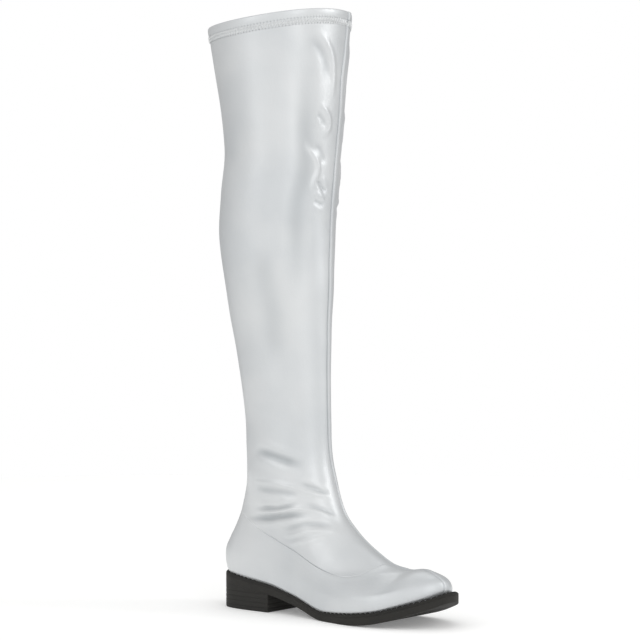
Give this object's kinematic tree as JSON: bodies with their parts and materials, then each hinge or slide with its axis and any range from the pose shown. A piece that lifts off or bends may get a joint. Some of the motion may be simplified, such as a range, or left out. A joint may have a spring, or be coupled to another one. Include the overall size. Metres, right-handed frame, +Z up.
{
  "type": "thigh high boot",
  "caption": "Thigh-high pull-on boot: smooth stretch shaft, stitched collar, curved foot seam, raised front seam, welted sole and low stacked heel.",
  "frame": {"origin": "middle of the heel's flat base, on the floor", "axes": "+X to the toe, +Y to the inner side of the leg, +Z up the shaft"},
  "size_m": [0.2825, 0.1357, 0.5878],
  "materials": {
    "outsole": "matt moulded rubber",
    "welt": "matt moulded rubber with wheeled notches",
    "heel_block": "matt, grained in layers like a stacked heel",
    "heel_top_piece": "matt hard rubber",
    "upper": "pearl silver coated stretch cloth, soft sheen",
    "insole": "matt lining cloth"
  },
  "bodies": {
    "root": {"outsole": "outsole", "welt": "welt", "heel_block": "heel_block", "heel_top_piece": "heel_top_piece", "foot_outer_panel": "upper", "foot_inner_panel": "upper", "shaft_outer_panel": "upper", "shaft_inner_panel": "upper", "collar_band": "upper", "insole": "insole"}
  },
  "joints": []
}
